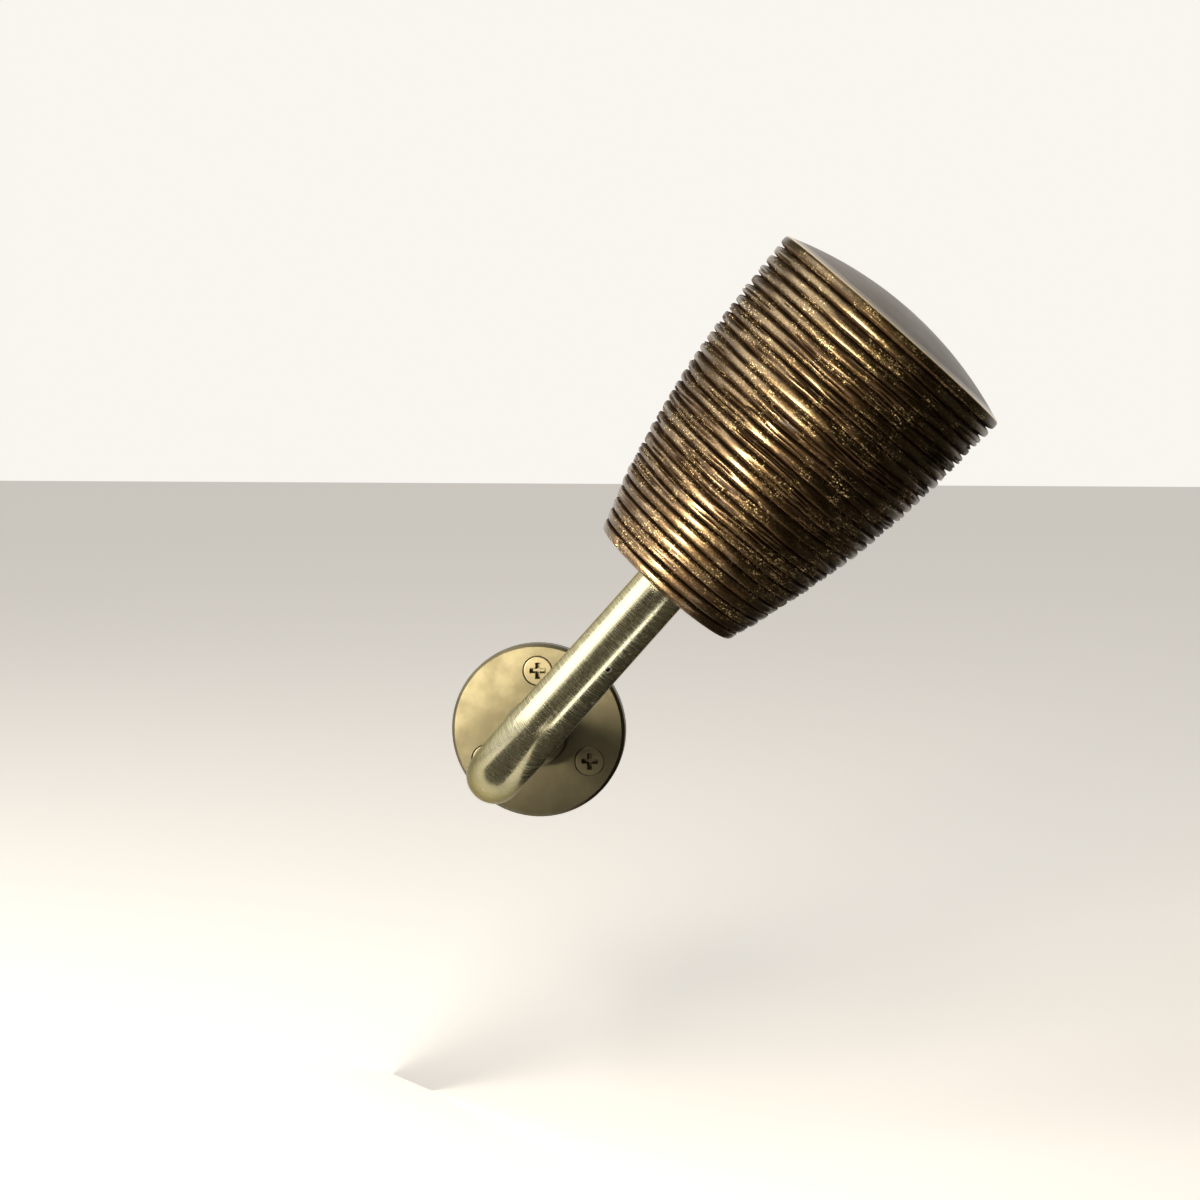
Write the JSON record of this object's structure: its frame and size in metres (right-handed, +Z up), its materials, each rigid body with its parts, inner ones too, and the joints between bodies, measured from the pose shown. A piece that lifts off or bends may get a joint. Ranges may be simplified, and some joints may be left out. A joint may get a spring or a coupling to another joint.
{
  "type": "curtain holdback",
  "caption": "Wall-mounted curtain holdback: bent round metal arm on a wall rose, with a ribbed cone-shaped domed finial at its free end.",
  "frame": {"origin": "centre of the wall rose's back face, on the wall plane", "axes": "+Y into the wall, +Z up, +X to the right as seen from the room; the front leg rises to the right in the XZ plane"},
  "size_m": [0.1329, 0.1527, 0.1422],
  "materials": {
    "finial_resin": "cast resin, dark bronze with dry-brushed gold on the ribs",
    "arm_metal": "antique brass, satin, finely brushed round the tube",
    "thread_brass": "plain turned brass",
    "screw_steel": "zinc-plated steel",
    "wall_screw_metal": "antique brass plated steel"
  },
  "bodies": {
    "root": {"finial_body": "finial_resin", "finial_insert": "thread_brass", "finial_stud": "screw_steel", "front_tube_nut": "screw_steel", "arm_tube": "arm_metal", "rear_tube_nut": "screw_steel", "wall_rose": "arm_metal", "rose_screw": "screw_steel", "wall_screw_1": "wall_screw_metal", "wall_screw_2": "wall_screw_metal", "wall_screw_3": "wall_screw_metal"}
  },
  "joints": []
}
